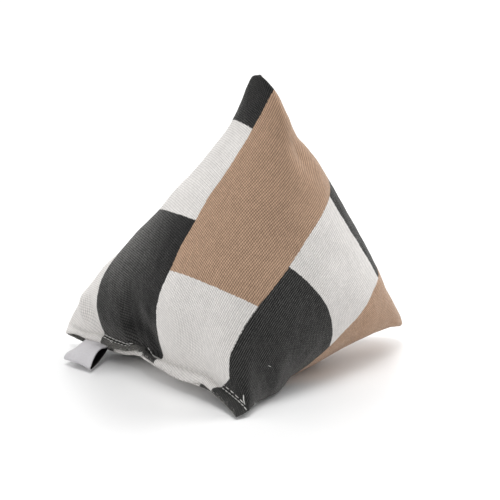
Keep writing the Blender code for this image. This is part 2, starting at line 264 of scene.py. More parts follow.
# painted shade in the slit between the two rows of stitches: how dark, by u, and how far outside the seam
SLIT_SHADE = [(-0.30, 0.0), (-0.285, 0.9), (-0.13, 0.9), (-0.11, 0.2), (-0.02, 0.2), (0.02, 0.0), (1.50, 0.0)]
SLIT_FROM, SLIT_TO, SLIT_SOFT = 0.30, 1.50, 0.3
# painted shade in the deep pinches over the seam: middle u and s, their widths, and how dark
CREASE_SHADE = [(-0.105, 0.972, 0.060, 0.022, 0.62), (0.450, 0.985, 0.016, 0.014, 0.30)]

# ribbon label, in millimetres: u of its edge nearer L and of its edge nearer F
LABEL_FROM, LABEL_TO = -0.378, -0.262
LABEL_EDGE = 0.62       # of the hem's profile at which the ribbon comes out
LABEL_SINK = 0.4        # how far below the hem's middle
LABEL_THICK = 0.34
LABEL_WIDTH = 19.0
# at each of the two edges: the way it points, and its drop and opening as shares of the path's
LABEL_TOWARD_L = np.array([-0.41, -0.912, 0.0])
LABEL_TOWARD_F = np.array([-0.31, -0.951, 0.0])
LABEL_DROP_L, LABEL_DROP_F = 0.75, 1.10
LABEL_OPEN_L, LABEL_OPEN_F = 0.30, 1.45
LABEL_ABOVE = 0.72      # share of the opening above the path
LABEL_FOLD = 75         # degrees the fold turns each way from its tip
LABEL_WAVE, LABEL_CURL = 0.16, 0.12
LABEL_LOWEST = 0.06     # least height of the ribbon over the surface
LABEL_ACROSS, LABEL_ALONG, FOLD_POINTS = 22, 34, 11
# path of the ribbon's middle out from the hem, and the opening between its plies
LABEL_PATH = [
    # share out   drop  opening
    (-0.10, -1.3, -2.4, 0.5),
    (-0.04, -0.4, -0.8, 0.9),
    (0.00, 0.6, 0.0, 1.3),
    (0.10, 2.8, 0.6, 2.0),
    (0.35, 9.0, 1.4, 3.7),
    (0.60, 15.0, 2.2, 4.2),
    (0.85, 21.0, 3.1, 3.2),
    (1.00, 24.3, 3.8, 1.6),
]
RIBBON_COLOUR, RIBBON_INSIDE = (0.595, 0.580, 0.600), (0.006, 0.005, 0.005)
WEFT_PITCH, WARP_PITCH = 0.30, 0.22
SELVEDGE = 0.9
RIBBON_BUMP = 0.00003
RIBBON_FINISH = {"Roughness": 0.45, "Specular IOR Level": 0.35, "Anisotropic": 0.5, "Sheen Weight": 0.05}

# studio
FLOOR_HALF, FLOOR_DROP = 6.0, 0.0002    # metres
FLOOR_COLOUR = (0.93, 0.93, 0.93, 1.0)
FLOOR_FINISH = {"Base Color": FLOOR_COLOUR, "Roughness": 0.36, "Specular IOR Level": 0.15}
WORLD_STRENGTH = 0.42
LIGHT_AIM = (0, 0, 0.05)
LIGHTS = [
    # name, place in metres, size, watts
    ("key", (0.8, 0.6, 1.1), 0.7, 6.0),
    ("top", (0.0, 0.0, 1.5), 0.7, 8.5),
    ("back", (0.0, 1.4, 0.7), 1.2, 5.5),
    ("back left", (-1.2, 0.8, 0.7), 0.8, 4.6),
    ("back right", (1.25, 0.8, 0.6), 0.8, 6.0),
    ("left", (-1.4, -0.2, 0.5), 0.6, 2.6),
    ("front left", (-0.9, -1.0, 0.8), 0.7, 1.3),
    ("front right", (0.9, -1.0, 0.8), 0.7, 1.0),
]
CAMERA_TARGET = Vector((12.0, -43.0, 75.0)) * MM
CAMERA_DISTANCE = 1.2
CAMERA_ELEVATION = 14.5     # degrees
FOCAL_PIXELS, FRAME_PIXELS, SENSOR = 2400.0, 500.0, 36.0


def curve(rows, x):
    """Smooth curve through the rows of a table that never overshoots them."""
    rows = np.array(rows, float)
    px, py = rows[:, 0], rows[:, 1:]
    h = np.diff(px)
    d = np.diff(py, axis=0) / h[:, None]
    m = np.zeros_like(py)
    m[0], m[-1] = d[0], d[-1]
    if len(h) > 1:      # a table of two rows is a straight line
        w1 = (2 * h[1:] + h[:-1])[:, None]
        w2 = (h[1:] + 2 * h[:-1])[:, None]
        same = d[:-1] * d[1:] > 0
        over = np.where(same, w1 * d[1:] + w2 * d[:-1], 1.0)
        m[1:-1] = np.where(same, (w1 + w2) * d[:-1] * d[1:] / over, 0.0)
    x = np.clip(np.asarray(x, float), px[0], px[-1])
    k = np.clip(np.searchsorted(px, x, side="right") - 1, 0, len(h) - 1)
    t = ((x - px[k]) / h[k])[..., None]
    hk = h[k][..., None]
    return ((1 + 2 * t) * (1 - t) ** 2 * py[k] + t * (1 - t) ** 2 * hk * m[k]
            + t * t * (3 - 2 * t) * py[k + 1] + t * t * (t - 1) * hk * m[k + 1])


def ease(x):
    x = np.clip(x, 0, 1)
    return x * x * (3 - 2 * x)


def unit(v):
    return v / np.maximum(np.linalg.norm(v, axis=-1, keepdims=True), 1e-12)


def quarter_steps(count):
    """Shares of a quarter's length, closer together towards its two ends."""
    t = np.arange(count) / count
    return 0.4 * t + 0.6 * (0.5 - 0.5 * np.cos(np.pi * t))


def quarter(a, b, n, count):
    """Quarter of a superellipse from a to b."""
    ph = np.linspace(0, np.pi / 2, QUARTER_SAMPLES)
    q = np.outer(np.cos(ph) ** (2 / n), a) + np.outer(np.sin(ph) ** (2 / n), b)
    d = np.r_[0, np.cumsum(np.linalg.norm(np.diff(q, axis=0), axis=1))]
    t = quarter_steps(count) * d[-1]
    return np.stack([np.interp(t, d, q[:, k]) for k in range(3)], 1)


def normals(pts):
    """Outward direction of the cloth at each point of its rings."""
    along = np.gradient(pts, axis=0)
    round_ = np.roll(pts, -1, 1) - np.roll(pts, 1, 1)
    return unit(np.cross(along, round_))


def ripple(u, v, count, size, seed):
    """Smooth seeded waves, periodic round the tube, about 1 high; v is along it in mm."""
    rng = np.random.default_rng(seed)
    total = np.zeros(np.broadcast(u, v).shape)
    for _ in range(count):
        turn = rng.uniform(0, 2 * np.pi)
        waves = 2 * TUBE / size * rng.uniform(0.6, 1.4)
        around = np.round(waves * np.cos(turn))
        along = waves * np.sin(turn) / (2 * TUBE)
        phase = rng.uniform(0, 2 * np.pi)
        total = total + np.sin(2 * np.pi * (around * u / 2 + along * v) + phase)
    return total / np.sqrt(count)


def cloth():
    """Rings of cloth points from the upper seam over the hem's edge, and their u and s."""
    m1, m2 = (T + R) / 2, (L + F) / 2
    h1, h2 = np.linalg.norm(R - T) / 2, np.linalg.norm(F - L) / 2
    d1, d2 = unit(R - T), unit(F - L)
    axis = unit(m2 - m1)
    out = unit(np.cross(UP, d2))
    out = out * np.sign(out @ axis)
    s = np.linspace(0, 1, ROWS + 1)
    s = s - CROWDING * np.sin(2 * np.pi * s)
    q = ROUND // 4
    rings = []
    for si, row in zip(s, curve(SECTIONS, s)):
        al, tT, tF, tR, tL, nTF, nFR, nRL, nLT, twist = row
        a, b = -d1 * tT * h1, d2 * tF * h2
        c, d = d1 * tR * h1, -d2 * tL * h2
        ring = np.concatenate([quarter(a, b, nTF, q), quarter(b, c, nFR, q),
                               quarter(c, d, nRL, q), quarter(d, a, nLT, q)])
        x, y = ring @ d1 / h1, ring @ d2 / h2
        th = np.radians(-twist)
        ring = (ring * np.cos(th) + np.cross(axis, ring) * np.sin(th)
                + np.outer(ring @ axis, axis) * (1 - np.cos(th)))
        bow = curve(UPPER_SEAM, (np.clip(x, -1, 1) + 1) / 2)[:, 0]
        ring = ring - np.outer(bow * (1 - si) ** 2, axis)
        share = np.clip(y, -1, 1)
        seam = curve(SEAM, (share + 1) / 2)
        near = ease((si - 1 + SEAM_REACH) / SEAM_REACH)
        ring = ring + near * (np.outer(-seam[:, 0], out) + np.outer(seam[:, 1], UP))
        rings.append(m1 + (m2 - m1) * al + ring)
    pts = np.array(rings)
    # the hem goes on from the middle of the last ring, out over its edge and back inside
    j = np.arange(ROUND)
    last = pts[-1]
    mid = (last + last[(2 * q - j) % ROUND]) / 2
    droop = np.radians(seam[:, 2])
    hang = np.outer(np.cos(droop), out) - np.outer(np.sin(droop), UP)
    face = unit(np.cross(hang, d2))
    face = face * np.sign(face[0, 2])
    back = (j > q) & (j < 3 * q)
    layer = np.where(back, -1.0, 1.0) * ((j != q) & (j != 3 * q))
    taper = np.sqrt(np.clip(1 - np.abs(share) ** HEM_END_POWER, 0, 1))
    reach = np.where(back, seam[:, 4], seam[:, 3])
    length, before = 0.0, 0.0
    for w, half in HEM_PROFILE:
        half = half * (1 + seam[:, 5] * np.clip((half - THIN) / (FULL - THIN), 0, 1))
        row = mid + (w * reach)[:, None] * hang + (layer * half * taper)[:, None] * face
        pts = np.concatenate([pts, row[None]])
        length += max(abs(w - before) * HEM, HEM_STEP)
        before = w
        s = np.r_[s, 1 + length / HEIGHT]
    u = np.concatenate([(k + quarter_steps(q)) / 2 for k in range(4)])
    n = normals(pts)
    for fu, fs, angle, half_long, half_wide, depth, left in FOLDS:
        du = ((u[None, :] - fu + 1) % 2 - 1) * TUBE
        dv = (s[:, None] - fs) * HEIGHT
        a = np.radians(angle)
        lon = du * np.cos(a) + dv * np.sin(a)
        lat = -du * np.sin(a) + dv * np.cos(a)
        amount = depth * np.exp(-(lon / half_long) ** 2 - (lat / half_wide) ** 2)
        amount = amount * (left + (1 - left) * ease((1 - s) / FOLD_FADE))[:, None]
        pts = pts - amount[..., None] * n
    # the filling shows through as slight lumps
    calm = ease(s / LUMPS_END)[:, None] * ease((1 - s) / LUMPS_END)[:, None]
    lumps = sum(high * ripple(u[None, :], (s * HEIGHT)[:, None], *rest) for high, *rest in LUMPS)
    pts = pts + (calm * lumps)[..., None] * n
    # and it rests flat on the surface below
    z, soft = pts[..., 2], FLOOR_SOFT
    pts[..., 2] = np.where(z > soft, z, np.where(z < -soft, 0, (z + soft) ** 2 / (4 * soft)))
    return pts, u, s


def ring_faces(count, around, fold_a, fold_b):
    """Quads of a stack of rings, as corner indices; both end rings are zipped across."""
    i, j = np.meshgrid(np.arange(count - 1), np.arange(around), indexing="ij")
    k = (j + 1) % around
    quads = np.stack([i * around + j, i * around + k, (i + 1) * around + k, (i + 1) * around + j], -1)
    faces = [tuple(f) for f in quads.reshape(-1, 4).tolist()]
    for ring, fold in ((0, fold_a), (count - 1, fold_b)):
        at = lambda m: ring * around + m % around
        for m in range(around // 2):
            quad = [at(fold + m), at(fold + m + 1), at(fold - m - 1), at(fold - m)]
            quad = [v for n, v in enumerate(quad) if v not in quad[:n]]
            faces.append(tuple(quad[::-1] if ring == 0 else quad))
    return faces


def new_mesh(name, points, faces):
    """Smooth-shaded object from points in millimetres."""
    mesh = bpy.data.meshes.new(name)
    mesh.from_pydata([tuple(p) for p in (np.asarray(points).reshape(-1, 3) * MM)], [], faces)
    mesh.update()
    ob = bpy.data.objects.new(name, mesh)
    bpy.context.scene.collection.objects.link(ob)
    mesh.polygons.foreach_set("use_smooth", [True] * len(mesh.polygons))
    return ob


def line_table(rows):
    """Values of a polyline table at any x, straight between rows."""
    rows = np.array(rows, float)
    return lambda x: np.interp(x, rows[:, 0], rows[:, 1])


class Nodes:
    """Short names for building a node tree."""

    def __init__(self, material):
        material.use_nodes = True
        self.tree = material.node_tree
        self.shader = self.tree.nodes["Principled BSDF"]

    def node(self, kind, **values):
        n = self.tree.nodes.new(kind)
        for key, value in values.items():
            setattr(n, key, value)
        return n

    def put(self, socket, value):
        if isinstance(value, bpy.types.NodeSocket):
            self.tree.links.new(value, socket)
        elif value is not None:
            socket.default_value = value

    def math(self, operation, a, b=None, c=None, clamp=False):
        n = self.node("ShaderNodeMath", operation=operation, use_clamp=clamp)
        for socket, value in zip(n.inputs, (a, b, c)):
            self.put(socket, value)
        return n.outputs[0]

    def mix(self, factor, a, b, blend="MIX"):
        n = self.node("ShaderNodeMix", data_type="RGBA", blend_type=blend)
        self.put(n.inputs[0], factor)
        self.put(n.inputs[6], a)
        self.put(n.inputs[7], b)
        return n.outputs[2]

    def tinted(self, colour, tone):
        """A colour made lighter or darker by a tone around 1."""
        grey = self.node("ShaderNodeCombineColor")
        for socket in grey.inputs[:3]:
            self.put(socket, tone)
        return self.mix(1.0, colour, grey.outputs[0], blend="MULTIPLY")

    def uv(self, name):
        """A UV map, and its two values."""
        uv = self.node("ShaderNodeUVMap", uv_map=name).outputs[0]
        split = self.node("ShaderNodeSeparateXYZ")
        self.put(split.inputs[0], uv)
        return uv, split.outputs[0], split.outputs[1]

    def attribute(self, name):
        return self.node("ShaderNodeAttribute", attribute_name=name).outputs["Fac"]

    def noise(self, vector, scale, detail=2.0, roughness=0.5):
        n = self.node("ShaderNodeTexNoise")
        self.put(n.inputs["Vector"], vector)
        n.inputs["Scale"].default_value = scale
        n.inputs["Detail"].default_value = detail
        n.inputs["Roughness"].default_value = roughness
        return n.outputs["Fac"]

    def range(self, value, low, high, to_low=0.0, to_high=1.0):
        n = self.node("ShaderNodeMapRange")
        for socket, v in zip(n.inputs, (value, low, high, to_low, to_high)):
            self.put(socket, v)
        return n.outputs[0]

    def bump(self, height, distance, strength):
        n = self.node("ShaderNodeBump")
        n.inputs["Distance"].default_value = distance
        n.inputs["Strength"].default_value = strength
        self.put(n.inputs["Height"], height)
        self.put(self.shader.inputs["Normal"], n.outputs[0])

    def colour(self, value):
        self.put(self.shader.inputs["Base Color"], value)

    def finish(self, values):
        for name, value in values.items():
            self.shader.inputs[name].default_value = value


def rgba(colour):
    return (*colour, 1.0)


def either_way(reach):
    """Settings of a range that turns 0 to 1 into -reach to reach."""
    return 0, 1, -reach, reach


def weave(t):
    """The cloth's UV in mm, the weave's height, 0 to 1, and a random value for each bead and rib."""
    uv, u, v = t.uv("cloth")
    wander = t.range(t.noise(uv, WANDER_SCALE, 1.0), *either_way(WANDER))
    x = t.math("ADD", t.math("MULTIPLY", u, 1 / RIB_PITCH), t.math("MULTIPLY_ADD", v, RIB_LEAN, wander))
    y = t.math("ADD", t.math("MULTIPLY", v, 1 / BEAD_PITCH), t.math("MULTIPLY_ADD", u, BEAD_LEAN, wander))
    rib, bead = t.math("FLOOR", x), t.math("FLOOR", y)
    px = t.math("MULTIPLY_ADD", t.math("FRACT", x), 2.0, -1.0)
    py = t.math("MULTIPLY_ADD", t.math("FRACT", y), 2.0, -1.0)
    px2, py2 = t.math("MULTIPLY", px, px), t.math("MULTIPLY", py, py)
    dome = lambda a, k: t.math("SQRT", t.math("MAXIMUM", t.math("MULTIPLY_ADD", a, -k, 1.0), 0.0))
    beads = t.math("MULTIPLY_ADD", dome(py2, BEAD_DOME), BEAD_SHARE, 1 - BEAD_SHARE)
    height = t.math("MULTIPLY", dome(px2, RIB_DOME), beads)
    # the cross thread shows low down between two ribs
    low = t.math("MULTIPLY", t.math("MULTIPLY", px2, px2), dome(py2, CROSS_DOME))
    height = t.math("MAXIMUM", height, t.math("MULTIPLY", low, CROSS_HEIGHT))
    # fibres wind round each rib
    ply = t.node("ShaderNodeCombineXYZ")
    t.put(ply.inputs[0], t.math("MULTIPLY_ADD", y, 0.9, t.math("MULTIPLY", x, 5.0)))
    t.put(ply.inputs[1], t.math("MULTIPLY_ADD", x, -0.6, t.math("MULTIPLY", y, 2.2)))
    fibre = t.noise(ply.outputs[0], 1.6, 2.0, 0.6)
    height = t.math("MULTIPLY", height, t.range(fibre, 0.2, 0.8, *FIBRE_SWING))
    cell = t.node("ShaderNodeCombineXYZ")
    t.put(cell.inputs[0], rib)
    t.put(cell.inputs[1], bead)
    each_bead = t.node("ShaderNodeTexWhiteNoise", noise_dimensions="2D")
    t.put(each_bead.inputs["Vector"], cell.outputs[0])
    each_rib = t.node("ShaderNodeTexWhiteNoise", noise_dimensions="1D")
    t.put(each_rib.inputs["W"], rib)
    return uv, height, each_bead.outputs["Value"], each_rib.outputs["Value"]


def print_colour(t, uv, bead):
    """Colour of the print, with edges that are ragged at the scale of single threads."""
    rag = t.math("ADD", t.range(bead, *either_way(RAGGED_BY_BEAD)),
                 t.range(t.noise(uv, 0.9, 2.0), *either_way(RAGGED_BY_NOISE)))
    edge = lambda mm: t.math("MULTIPLY_ADD", t.math("ADD", mm, rag), EDGE_SHARPNESS, 0.5, clamp=True)
    column = t.attribute("column")
    colour = None
    for k, (names, cuts) in enumerate(PRINT_COLUMNS):
        block = rgba(PRINT_COLOURS[names[0]])
        for c, name in enumerate(names[1:]):
            block = t.mix(edge(t.attribute("cut_%d_%d" % (k, c))), block, rgba(PRINT_COLOURS[name]))
        if colour is None:
            colour = block
        else:
            here = edge(t.math("MULTIPLY", t.math("SUBTRACT", column, float(k)), COLUMN_WIDTH * TUBE))
            colour = t.mix(here, colour, block)
    return colour


def printed_cloth():
    mat = bpy.data.materials.new("printed_cloth")
    t = Nodes(mat)
    uv, height, bead, rib = weave(t)
    colour = print_colour(t, uv, bead)
    # rubbed places show the lighter fibre under the print
    rub = t.range(t.noise(uv, 1.1, 4.0, 0.7), 0.38, 0.62)
    rub = t.math("MULTIPLY", rub, t.attribute("wear"), clamp=True)
    colour = t.mix(t.math("MULTIPLY", rub, WORN_SHARE), colour, rgba(WORN_COLOUR), blend="LIGHTEN")
    # crowns of the threads catch more colour and light than the hollows, dark prints most of all
    bw = t.node("ShaderNodeRGBToBW")
    t.put(bw.inputs[0], colour)
    ramp = t.node("ShaderNodeValToRGB")
    ramp.color_ramp.elements.new(CONTRAST[1][0])
    for stop, (place, gain) in zip(ramp.color_ramp.elements, CONTRAST):
        stop.position = place
        stop.color = (gain, gain, gain, 1.0)
    t.put(ramp.inputs[0], bw.outputs[0])
    swing = t.math("SUBTRACT", height, MIDDLE_HEIGHT)
    swing = t.math("ADD", swing, t.range(bead, *either_way(BEAD_TONE)))
    swing = t.math("ADD", swing, t.range(rib, *either_way(RIB_TONE)))
    swing = t.math("MULTIPLY", swing, t.math("MULTIPLY", ramp.outputs[0], 2.0))
    tone = t.math("MAXIMUM", t.math("ADD", 1.0, swing), DARKEST_TONE)
    patch = t.range(t.noise(uv, 0.05, 3.0), 0.3, 0.7, 1 - PATCH_TONE, 1 + PATCH_TONE)
    dark = t.range(bw.outputs[0], *GLINT_DARK, 1.0, 0.0)
    colour = t.tinted(colour, t.math("MULTIPLY", tone, patch))
    # undyed fibre glints on the crowns of the dark threads
    crown = t.range(t.math("ADD", height, t.range(bead, *either_way(GLINT_BEAD))), *GLINT_CROWN)
    # painted highlight: the glint on the crowns is scaled by the painted amount for each place on the
    # cloth
    crown = t.math("MULTIPLY", crown, t.math("MULTIPLY", dark, t.attribute("glint_amount")))
    colour = t.mix(t.math("MULTIPLY", crown, GLINT, clamp=True), colour, rgba(GLINT_COLOUR))
    # painted shade: the slit and the pinches are mixed towards black
    t.colour(t.mix(t.attribute("painted_shade"), colour, (0.0, 0.0, 0.0, 1.0)))
    fuzz = t.noise(uv, 2.6, 3.0, 0.7)
    t.bump(t.math("MULTIPLY_ADD", fuzz, 0.20, height), CLOTH_BUMP, 0.9)
    t.finish(CLOTH_FINISH)
    return mat


def float_attribute(mesh, name, values):
    layer = mesh.attributes.new(name, "FLOAT", "CORNER")
    layer.data.foreach_set("value", np.ascontiguousarray(values, dtype=np.float32))


def hem_width(u):
    """Width of the hem's layer at each u, front layer up to 0.5 and back layer from there."""
    table = np.array(SEAM, float)
    front = np.interp(u + 0.5, table[:, 0], table[:, 4])
    back = np.interp(1.5 - u, table[:, 0], table[:, 5])
    return np.where(np.asarray(u) > 0.5, back, front)


def make_body():
    """The cloth, with its print, wear, glint amount (partly painted highlight) and painted shade as
    attributes of the face corners.
    """
    pts, u, s = cloth()
    faces = ring_faces(len(pts), ROUND, 0, ROUND // 4)
    ob = new_mesh("cushion_cloth", pts, faces)
    mesh = ob.data
    corner = np.zeros(len(mesh.loops), dtype=np.int32)
    mesh.loops.foreach_get("vertex_index", corner)
    start = np.zeros(len(mesh.polygons), dtype=np.int32)
    total = np.zeros(len(mesh.polygons), dtype=np.int32)
    mesh.polygons.foreach_get("loop_start", start)
    mesh.polygons.foreach_get("loop_total", total)
    column = corner % ROUND
    cu = u[column]
    cu = np.where(column >= 3 * (ROUND // 4), cu - 2, cu)
    cs = s[corner // ROUND]
    # faces that cross the line where u starts again use the higher value on both sides
    face_of = np.repeat(np.arange(len(start)), total)
    high = np.zeros(len(start))
    np.maximum.at(high, face_of, cu)
    sides = (len(pts) - 1) * ROUND
    cu = np.where((face_of < sides) & (high[face_of] > 1.2) & (cu < -0.3), cu + 2, cu)
    # the narrow strip that closes the upper seam takes the print of the front
    strip = (face_of >= sides) & (face_of < sides + ROUND // 2)
    cu = np.where(strip & (cu < 0), -cu, cu)
    cu = np.where(strip & (cu > 1), 2 - cu, cu)
    uv = mesh.uv_layers.new(name="cloth")
    uv.data.foreach_set("uv", np.stack([cu * TUBE, cs * HEIGHT], 1).astype(np.float32).ravel())
    lines = curve(PRINT_LINES, cs)
    marks = [np.full(len(cu), PRINT_START)] + [lines[:, k] for k in range(4)]
    marks += [np.full(len(cu), b) for b in (*BACK_LINES, PRINT_END)]
    col = np.zeros(len(cu))
    for k, (a, b) in enumerate(zip(marks[:-1], marks[1:])):
        inside = (cu >= a) & (cu < b)
        col = np.where(inside, k + (cu - a) / (b - a), col)
    float_attribute(mesh, "column", col)
    for k, (_, cuts) in enumerate(PRINT_COLUMNS):
        for c, rows in enumerate(cuts):
            float_attribute(mesh, "cut_%d_%d" % (k, c), (cs - curve(rows, cu)[:, 0]) * HEIGHT)
    worn = line_table(WEAR)(cu) * np.clip((cs - 1) * HEIGHT / WEAR_WIDTH, 0, 1)
    float_attribute(mesh, "wear", worn)
    # the left side has values of its own, a painted highlight, which fade out across the front and behind
    # L
    left = ease((0.25 - cu) / 0.2) * ease((cu + 0.6) / 0.1)
    glint_amount = line_table(GLINT_DOWN_CLOTH)(cs)
    on_left = line_table(GLINT_LEFT)(cu) * line_table(GLINT_LEFT_DOWN)(cs)
    glint_amount = glint_amount + left * (on_left - glint_amount) * (cs > 0.4)
    float_attribute(mesh, "glint_amount", glint_amount)
    # painted shade: the slit between the rows of stitches and the deep pinches over the seam are darkened
    # towards black
    beyond = (cs - 1) * HEIGHT * hem_width(cu) / HEM
    slit = np.clip((beyond - SLIT_FROM) / SLIT_SOFT, 0, 1) * np.clip((SLIT_TO - beyond) / SLIT_SOFT, 0, 1)
    slit = slit * line_table(SLIT_SHADE)(cu)
    # painted shade in the pinches over the seam, joined with the slit's
    for mid_u, mid_s, wide_u, wide_s, depth in CREASE_SHADE:
        crease = depth * np.exp(-((cu - mid_u) / wide_u) ** 2 - ((cs - mid_s) / wide_s) ** 2)
        slit = np.maximum(slit, crease)
    float_attribute(mesh, "painted_shade", slit)
    mesh.materials.append(printed_cloth())
    return ob, pts, u, s


def skin(pts, u, s):
    """Function giving places and outward directions on the cloth for u and s."""
    q = ROUND // 4
    order = np.r_[3 * q:ROUND, 0:3 * q + 1]
    at_u = np.r_[u[3 * q:] - 2, u[:3 * q + 1]]
    grid = np.concatenate([pts, normals(pts)], axis=2)[:, order]

    def at(x, y):
        x, y = np.broadcast_arrays(np.asarray(x, float), np.asarray(y, float))
        i = np.clip(np.interp(y, s, np.arange(len(s))), 0, len(s) - 1.001)
        j = np.clip(np.interp(x, at_u, np.arange(len(at_u))), 0, len(at_u) - 1.001)
        a, b = i.astype(int), j.astype(int)
        f, g = (i - a)[..., None], (j - b)[..., None]
        v = ((1 - f) * ((1 - g) * grid[a, b] + g * grid[a, b + 1])
             + f * ((1 - g) * grid[a + 1, b] + g * grid[a + 1, b + 1]))
        return v[..., :3], unit(v[..., 3:])
    return at


def tubes(name, lines, sides):
    """One object of round threads. Each line is its points, their outward directions and radii."""
    points, faces, uvs = [], [], []
    for place, out, radius in lines:
        along = unit(np.gradient(place, axis=0))
        across = unit(np.cross(along, out))
        out = np.cross(across, along)
        count, base = len(place), len(points)
        length = np.r_[0, np.cumsum(np.linalg.norm(np.diff(place, axis=0), axis=1))]
        for k in range(count):
            for m in range(sides):
                turn = 2 * np.pi * m / sides
                points.append(place[k] + radius[k] * (np.cos(turn) * across[k] + np.sin(turn) * out[k]))
        at = lambda k, m: base + k * sides + m % sides
        for k in range(count - 1):
            for m in range(sides):
                faces.append((at(k, m), at(k, m + 1), at(k + 1, m + 1), at(k + 1, m)))
                uvs += [(m / sides, length[k]), ((m + 1) / sides, length[k]),
                        ((m + 1) / sides, length[k + 1]), (m / sides, length[k + 1])]
        for end, turn in ((0, -1), (count - 1, 1)):
            faces.append(tuple(at(end, m) for m in range(sides))[::turn])
            uvs += [(m / sides, length[end]) for m in range(sides)][::turn]
    ob = new_mesh(name, points, faces)
    layer = ob.data.uv_layers.new(name="thread")
    layer.data.foreach_set("uv", np.array(uvs, dtype=np.float32).ravel())
    return ob


def bridge(at, start, end, radius, arc, sink=0.0, steps=8):
    """A thread over the cloth from one place to another, entering it at both ends."""
    t = np.linspace(0, 1, steps)
    place, out = at(start[0] + (end[0] - start[0]) * t, start[1] + (end[1] - start[1]) * t)
    lift = (arc + radius) * np.sin(np.pi * t) ** 0.55 - radius - sink
    return place + out * lift[:, None], out, radius * np.sin(np.pi * (0.06 + 0.88 * t)) ** 0.35


def make_stitches(at):
    """Both rows of topstitching on both sides of the hem, and the loose ends."""
    lines = []
    rng = np.random.default_rng(21)
    for first, last, rows in STITCH_ROWS:
        rows = np.array(rows, float)
        for side in (0, 1):
            u = np.linspace(first, last, 700)
            out = np.interp(u, rows[:, 0], rows[:, 1])
            sink = np.interp(u, rows[:, 0], rows[:, 2])
            face_u = 1.0 - u if side else u
            row_s = 1 + out / HEIGHT * np.where(out > 0, HEM / hem_width(face_u), 1)
            place = at(face_u, row_s)[0]
            run = np.r_[0, np.cumsum(np.linalg.norm(np.diff(place, axis=0), axis=1))]
            shown_at = np.interp(u, rows[:, 0], rows[:, 3])
            stitch_at = np.interp(u, rows[:, 0], rows[:, 4])
            hole = stitch_at[0] * rng.uniform(0.1, 0.9)
            stitch = stitch_at[0]
            while hole + stitch < run[-1]:
                shown = np.interp(hole, run, shown_at)
                a = hole + (1 - shown) * stitch * 0.5
                b = hole + (1 + shown) * stitch * 0.5 * rng.uniform(0.96, 1.0)
                ends = [(np.interp(d, run, face_u), np.interp(d, run, row_s)) for d in (a, b)]
                ends = [(x, y + rng.normal(0, 0.07) / HEIGHT) for x, y in ends]
                lines.append(bridge(at, *ends, THREAD_RADIUS, THREAD_ARC, float(np.interp(a, run, sink))))
                hole += stitch
                stitch = np.interp(hole, run, stitch_at)
    for start, end, radius, arc in LOOSE:
        lines.append(bridge(at, start, end, radius, arc, 0.0, 10))
    ob = tubes("topstitching", lines, THREAD_SIDES)
    ob.data.materials.append(sewing_thread())
    return ob


def sewing_thread():
    mat = bpy.data.materials.new("sewing_thread")
    t = Nodes(mat)
    _, across, along = t.uv("thread")
    turn = t.math("MULTIPLY_ADD", along, 1.6, t.math("MULTIPLY", across, 2.0))
    ply = t.math("ABSOLUTE", t.math("SINE", t.math("MULTIPLY", turn, np.pi)))
    # the grooves between the plies are painted darker, a painted shade
    t.colour(t.mix(t.range(ply, 0.0, 0.7), *map(rgba, THREAD_GROOVE_SHADE_AND_CROWN)))
    t.bump(ply, THREAD_BUMP, 0.8)
    t.finish(THREAD_FINISH)
    return mat


def make_fuzz(at):
    """Loose fibres along the hem's edges, longer where it is worn."""
    rng = np.random.default_rng(33)
    lines, shades = [], []
    hem = HEM / HEIGHT
    for _ in range(FIBRES):
        u = rng.uniform(-0.49, 1.49)
        if abs(u - 0.5) < 0.015:
            continue
        worn = float(line_table(WEAR)(u))
        length = rng.uniform(*FIBRE_LENGTH) * (0.8 + 0.7 * worn)
        start, out = at(u, 1 + hem * rng.uniform(0.80, 1.20))
        way = unit(out * rng.uniform(0.2, 1.0) + rng.normal(0, 0.6, 3) - UP * rng.uniform(0.0, 0.9))
        curl = unit(np.cross(way, rng.normal(0, 1, 3))) * rng.uniform(0.1, 0.6) * length
        t = np.linspace(0, 1, FIBRE_POINTS)[:, None]
        place = start + way * length * t + curl * np.sin(np.pi * t * rng.uniform(0.5, 1.2)) * t
        place[:, 2] = np.maximum(place[:, 2], FIBRE_LOWEST)
        radius = FIBRE_RADIUS * (1.05 - t[:, 0])
        lines.append((place, np.tile(curl + out * 0.01, (FIBRE_POINTS, 1)), radius))
        shades.append(rng.uniform(0.35, 1.0))
    ob = tubes("hem_fibres", lines, FIBRE_SIDES)
    mat = bpy.data.materials.new("hem_fibre")
    t = Nodes(mat)
    t.colour(t.mix(t.attribute("shade"), *map(rgba, FIBRE_COLOURS)))
    t.finish({"Roughness": 0.9})
    corners = (FIBRE_POINTS - 1) * FIBRE_SIDES * 4 + 2 * FIBRE_SIDES
    float_attribute(ob.data, "shade", np.repeat(shades, corners))
    ob.data.materials.append(mat)
    return ob


